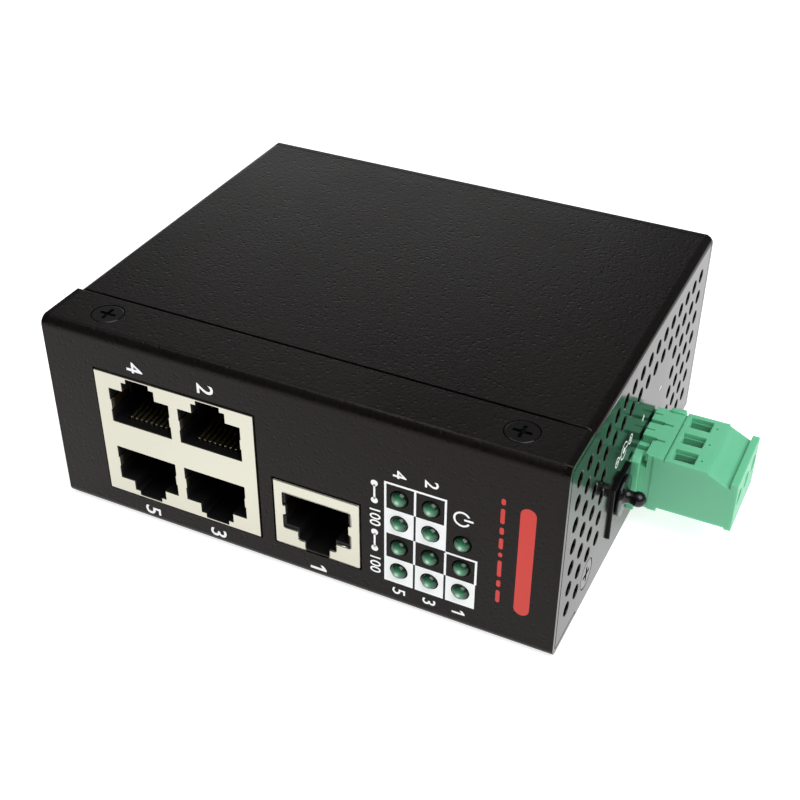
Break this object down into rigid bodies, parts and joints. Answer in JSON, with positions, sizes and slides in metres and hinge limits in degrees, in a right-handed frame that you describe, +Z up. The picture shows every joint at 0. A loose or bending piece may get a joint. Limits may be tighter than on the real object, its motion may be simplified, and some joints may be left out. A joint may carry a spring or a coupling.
{
  "type": "network switch",
  "caption": "Compact metal-cased network switch with modular ports, indicator lamps, a power jack, a plug-in terminal block and a rail clip.",
  "frame": {"origin": "middle of the housing's lower big face, the face it lies on", "axes": "+Z up with the housing lying down; the ports face -Y, the power connectors +X, the rail clip +Y"},
  "size_m": [0.1138, 0.0881, 0.0385],
  "materials": {
    "coat": "fine black powder coat",
    "plated": "bright nickel plate",
    "zinc": "zinc plated steel",
    "screw": "plated steel",
    "board": "green solder mask on glass laminate",
    "moulding": "black moulded plastic",
    "gold": "gold plated spring wire",
    "tin": "tin plated copper alloy",
    "lamp": "clear green lamp, unlit",
    "green_block": "green moulded plastic",
    "rubber": "black rubber",
    "can": "sleeved aluminium can",
    "ferrite": "ferrite",
    "ceramic": "ceramic chips",
    "fuse": "polymer fuse"
  },
  "bodies": {
    "housing": {"front_shell": "coat", "cover": "coat", "base_pan": "coat", "flange_screws": "screw", "side_screws": "screw", "circuit_board": "board", "standoffs": "zinc", "board_screws": "zinc", "stack_shield": "plated", "stack_housing": "moulding", "stack_contacts": "gold", "single_shield": "plated", "single_housing": "moulding", "single_contacts": "gold", "jack_pins": "tin", "lamps": "lamp", "lamp_holders": "moulding", "lamp_leads": "tin", "switch_chip": "moulding", "chip_leads": "tin", "line_transformers": "moulding", "crystal": "zinc", "capacitors": "can", "power_inductor": "ferrite", "regulator": "moulding", "surge_diode": "moulding", "resettable_fuse": "fuse", "chip_passives": "ceramic", "power_jack": "moulding", "power_jack_pin": "tin", "power_jack_springs": "tin", "terminal_header": "green_block", "header_pins": "tin", "rail_bracket": "moulding", "latch_spring": "zinc", "rail_screws": "zinc"},
    "dust_plug": {"dust_plug": "rubber"},
    "terminal_plug": {"plug_body": "green_block", "plug_contacts": "tin"},
    "rail_latch": {"rail_latch": "moulding"},
    "clamp_screw_a": {"clamp_screw_a": "zinc"},
    "clamp_cage_a": {"clamp_cage_a": "zinc"},
    "clamp_screw_b": {"clamp_screw_b": "zinc"},
    "clamp_cage_b": {"clamp_cage_b": "zinc"},
    "clamp_screw_c": {"clamp_screw_c": "zinc"},
    "clamp_cage_c": {"clamp_cage_c": "zinc"}
  },
  "joints": [
    {"name": "terminal_plug_slide", "type": "slide", "parent": "housing", "child": "terminal_plug", "axis": [1, 0, 0], "range_m": [0, 0.01]},
    {"name": "dust_plug_slide", "type": "slide", "parent": "housing", "child": "dust_plug", "axis": [1, 0, 0], "range_m": [0, 0.009]},
    {"name": "rail_latch_slide", "type": "slide", "parent": "housing", "child": "rail_latch", "axis": [-1, 0, 0], "range_m": [0, 0.003], "stiffness_N_per_m": 3000, "springref_m": -0.002, "deforming": ["latch_spring"]},
    {"name": "clamp_screw_turn_a", "type": "hinge", "parent": "terminal_plug", "child": "clamp_screw_a", "pos_m": [0.0625, -0.00083, 0.0122], "axis": [1, 0, 0], "range_deg": [-1800, 0]},
    {"name": "clamp_screw_turn_b", "type": "hinge", "parent": "terminal_plug", "child": "clamp_screw_b", "pos_m": [0.0625, 0.00425, 0.0122], "axis": [1, 0, 0], "range_deg": [-1800, 0]},
    {"name": "clamp_screw_turn_c", "type": "hinge", "parent": "terminal_plug", "child": "clamp_screw_c", "pos_m": [0.0625, 0.00933, 0.0122], "axis": [1, 0, 0], "range_deg": [-1800, 0]},
    {"name": "clamp_cage_slide_a", "type": "slide", "parent": "terminal_plug", "child": "clamp_cage_a", "axis": [1, 0, 0], "range_m": [0, 0.0025]},
    {"name": "clamp_cage_slide_b", "type": "slide", "parent": "terminal_plug", "child": "clamp_cage_b", "axis": [1, 0, 0], "range_m": [0, 0.0025]},
    {"name": "clamp_cage_slide_c", "type": "slide", "parent": "terminal_plug", "child": "clamp_cage_c", "axis": [1, 0, 0], "range_m": [0, 0.0025]}
  ],
  "couplings": [
    {"joint": "clamp_screw_turn_a", "follows": "clamp_cage_slide_a", "rad_per_m": -12566},
    {"joint": "clamp_screw_turn_b", "follows": "clamp_cage_slide_b", "rad_per_m": -12566},
    {"joint": "clamp_screw_turn_c", "follows": "clamp_cage_slide_c", "rad_per_m": -12566}
  ]
}
